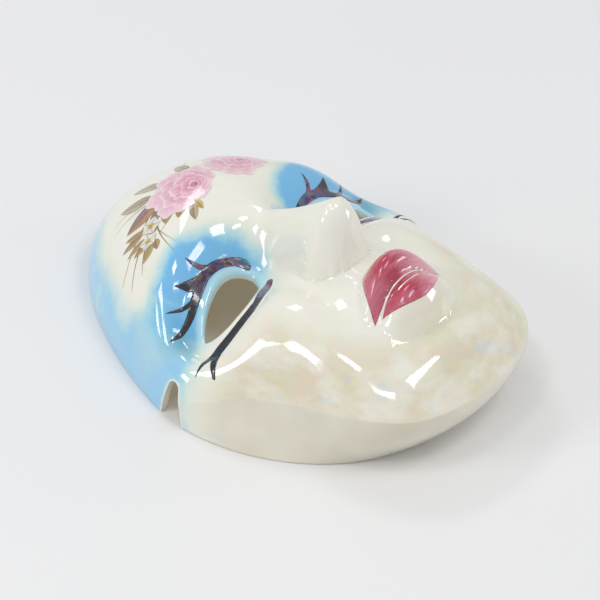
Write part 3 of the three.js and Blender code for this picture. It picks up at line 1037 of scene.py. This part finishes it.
def leaf(spray, base, tip, width, bend, dark, light):
    base, tip = np.array(base, float), np.array(tip, float)
    along = tip - base
    across = np.array([-along[1], along[0]]) / np.hypot(*along)
    v = np.linspace(0, 1, 14)[:, None]
    u = np.linspace(-1, 1, 9)[None, :]
    spine = base + v[..., None] * along + (bend * np.sin(math.pi * v))[..., None] * across
    half = width / 2 * np.sin(math.pi * np.clip(v, 0.001, 0.999) ** 0.85) ** 0.8
    xy = spine + (u * half)[..., None] * across
    vein = np.exp(-(u / 0.12) ** 2) + 0.5 * np.exp(-((np.abs(u) - 0.9) / 0.12) ** 2)
    ribs = 0.25 * (0.5 + 0.5 * np.cos(2 * math.pi * (5 * v - 1.4 * np.abs(u))))
    side = np.where(u > 0, 0.65, 0.25)
    colours = mix(np.array(dark), np.array(light), np.clip(side + ribs, 0, 1)[..., None])
    spray.patch(xy, mix(colours, np.array(BROWN), 0.6 * np.clip(vein, 0, 1)[..., None]))


def stroke(spray, start, control, end, width, colour):
    """A thin tapered brush stroke."""
    start, control, end = (np.array(p, float) for p in (start, control, end))
    t = np.linspace(0, 1, 16)[:, None]
    path = start * (1 - t) ** 2 + 2 * control * t * (1 - t) + end * t * t
    along = np.gradient(path, axis=0)
    across = np.stack([-along[:, 1], along[:, 0]], -1) / np.hypot(*along.T)[:, None]
    half = width / 2 * (1 - 0.8 * t)
    xy = np.stack([path - across * half, path, path + across * half], 1)
    spray.patch(xy, np.broadcast_to(np.array(colour), (*xy.shape[:2], 3)))


def blossom(spray, centre, size, turn):
    """A small white five-petalled flower with a golden eye."""
    centre = np.array(centre, float)
    for i in range(5):
        angle = turn + 2 * math.pi * i / 5
        tip = centre + size * np.array([math.cos(angle), math.sin(angle)])
        leaf(spray, centre, tip, size * 0.95, 0, (0.66, 0.66, 0.56), WHITE)
    for i in range(3):
        angle = turn + 2 * math.pi * i / 3
        tip = centre + 0.36 * size * np.array([math.cos(angle), math.sin(angle)])
        leaf(spray, 2 * centre - tip, tip, size * 0.42, 0, GOLD, (0.66, 0.46, 0.06))


LEAVES = [
    # base, tip, width, bend, dark, light
    ((-18, 62), (-23, 76), 6.5, 0.8, OLIVE, (0.50, 0.44, 0.30)),
    ((-12, 62), (-13, 78), 5.0, -0.6, OLIVE, (0.50, 0.48, 0.34)),
    ((-1, 57), (3, 68), 5.5, 0.5, OLIVE, (0.46, 0.40, 0.26)),
    ((-20, 58), (-34, 62), 7.5, 0.9, (0.22, 0.14, 0.24), (0.52, 0.30, 0.10)),
    ((-20, 54), (-31, 52), 5.0, 0.5, BROWN, (0.44, 0.34, 0.22)),
    ((-20, 50), (-28.5, 45), 5.0, -0.5, OLIVE, (0.52, 0.40, 0.18)),
    ((-19, 45), (-24.5, 41.5), 4.0, 0.4, OLIVE, GOLD),
    ((-14.5, 42), (-15.5, 35.5), 3.2, 0.3, GOLD, (0.62, 0.48, 0.16)),
    ((-15.5, 41), (-21.5, 34.5), 4.0, -0.3, BROWN, (0.62, 0.48, 0.28)),
]
SPRIG_LEAVES = [
    ((-32, 52), (-36.5, 60.5), 3.0, 0.3), ((-34, 53), (-40, 59), 3.2, 0.3),
    ((-35, 50), (-42, 54.5), 2.8, 0.2), ((-36, 47), (-42, 50.5), 3.4, -0.2),
    ((-37, 45), (-44, 43.5), 3.6, 0.2), ((-35, 45), (-38.6, 40.5), 3.0, 0.2),
    ((-31, 47), (-33.5, 53), 3.0, 0.2),
]
SPRIGS = [
    # start, control, end, width
    ((-22, 56), (-36, 55), (-49, 51), 0.75), ((-38, 50), (-45, 48), (-51, 44), 0.6),
    ((-39, 47), (-43, 45), (-47.5, 41), 0.5), ((-22, 62), (-27, 68), (-32, 71), 0.5),
    ((-21, 64), (-24, 71), (-29, 75), 0.5), ((-30, 48), (-35, 42), (-37, 32), 0.55),
    ((-31, 47), (-33, 42), (-33.5, 35), 0.4), ((-20, 46), (-28, 44), (-33, 45), 0.4),
    ((-14, 43), (-17, 39), (-20, 37), 0.4), ((2, 62), (6, 67), (12, 68), 0.4),
]


def rose_spray():
    rng = np.random.default_rng(SEED)
    spray = Print()
    for start, control, end, width in SPRIGS:
        stroke(spray, start, control, end, width, mix(np.array(BROWN), np.array(GOLD), 0.35))
    for leaf_facts in LEAVES:
        leaf(spray, *leaf_facts)
    for k, (base, tip, width, bend) in enumerate(SPRIG_LEAVES):
        leaf(spray, base, tip, width, bend, BROWN if k % 2 else OLIVE, (0.56, 0.40, 0.14))
    rose(spray, (20, 46.5), (16.5, 48.5), 14, 0.4, rng)
    rose(spray, (-7.5, 46.5), (-11.5, 52), 14.5, 1.1, rng)
    blossom(spray, (-30.4, 51.3), 4.0, 0.3)
    blossom(spray, (-36.1, 47.6), 3.6, 0.9)
    made = mesh_object("rose_spray", spray.points, spray.faces)
    point_colours(made, "print", spray.colours)
    face_up(made)
    return made


# ---- Assembly ---------------------------------------------------------------------------------

LASH_FILM = dict(lift=0.12, thickness=0.08, spacing=0.7)
LIP_FILM = dict(lift=0.14, thickness=0.10, spacing=0.8)


def finish_piece(piece, material, node):
    piece.data.materials.clear()
    piece.data.materials.append(material)
    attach(piece, "root")
    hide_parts(node)


def build_mask():
    shell = shell_object()
    paint_shell(shell)
    finish_piece(shell, pearl_glaze(), "mask_shell")
    finish_piece(rose_spray(), rose_print(), "rose_transfer")
    lash = lash_enamel()
    for drawing, row in ((UPPER_LASH, "upper_lash"), (LOWER_LASH, "lower_lash")):
        for side, hand in ((-1, "right"), (1, "left")):
            outline = drawn(side=side, **drawing)
            film = film_object(f"{row}_{hand}_enamel", outline, **LASH_FILM)
            finish_piece(film, lash, f"{row}_{hand}")
    lip = lip_enamel()
    for drawing, row in ((UPPER_LIP, "upper_lip"), (LOWER_LIP, "lower_lip")):
        film = film_object(f"{row}_enamel", drawn(**drawing), **LIP_FILM)
        finish_piece(film, lip, f"{row}_colour")


# ---- Studio -----------------------------------------------------------------------------------

VIEW_AZIMUTH = math.radians(-49.3)
VIEW_ELEVATION = math.radians(41)
VIEW_DISTANCE = 1.3
VIEW_AIM = Vector((0.0, -0.0036, 0.0206))
LENS_MM = 187.5
FLOOR_HALF_WIDTH = 3000
FLOOR_GAP = 0.0001


def towards(azimuth, elevation):
    return Vector((math.sin(azimuth) * math.cos(elevation),
                   -math.cos(azimuth) * math.cos(elevation), math.sin(elevation)))


def add_camera():
    camera = bpy.data.objects.new("camera", bpy.data.cameras.new("camera"))
    back = towards(VIEW_AZIMUTH, VIEW_ELEVATION)
    camera.location = VIEW_AIM + back * VIEW_DISTANCE
    camera.rotation_euler = back.to_track_quat("Z", "Y").to_euler()
    camera.data.lens = LENS_MM
    camera.data.sensor_width = 36
    bpy.context.scene.collection.objects.link(camera)
    bpy.context.scene.camera = camera


def add_softbox(name, azimuth, elevation, distance, size, watts):
    light = bpy.data.lights.new(name, "AREA")
    light.shape = "RECTANGLE"
    light.size, light.size_y = size
    light.energy = watts
    box = bpy.data.objects.new(name, light)
    away = towards(math.radians(azimuth), math.radians(elevation))
    box.location = away * distance
    box.rotation_euler = away.to_track_quat("Z", "Y").to_euler()
    bpy.context.scene.collection.objects.link(box)


def add_floor():
    half = FLOOR_HALF_WIDTH
    corners = [(-half, -half, 0), (half, -half, 0), (half, half, 0), (-half, half, 0)]
    floor = mesh_object("studio_floor", corners, [[0, 1, 2, 3]])
    floor.location.z = -FLOOR_GAP
    floor.data.materials.append(studio_floor())


def add_world():
    world = bpy.data.worlds.new("studio")
    world.use_nodes = True
    background = world.node_tree.nodes["Background"]
    background.inputs["Color"].default_value = (0.95, 0.97, 1.0, 1)
    background.inputs["Strength"].default_value = 0.56
    bpy.context.scene.world = world
    bpy.context.scene.view_settings.view_transform = "Standard"


SOFTBOXES = [
    # name, azimuth, elevation, distance, (width, height), watts
    ("window_left_high", -118, 34, 1.6, (0.46, 0.30), 3.2),
    ("window_left_low", -124, 13, 1.6, (0.34, 0.22), 1.8),
    ("brow_strip", -54, 60, 1.6, (0.42, 0.12), 1.2),
    ("overhead_near", -95, 69, 1.7, (0.34, 0.22), 2.8),
    ("overhead_far", 12, 64, 1.7, (0.5, 0.40), 4.4),
    ("window_right_low", 46, 12, 1.6, (0.44, 0.26), 2.4),
    ("window_back", 164, 55, 1.7, (0.5, 0.30), 2.8),
]

add_camera()
build_mask()
add_floor()
add_world()
for name, azimuth, elevation, distance, size, watts in SOFTBOXES:
    add_softbox(name, azimuth, elevation, distance, size, watts)
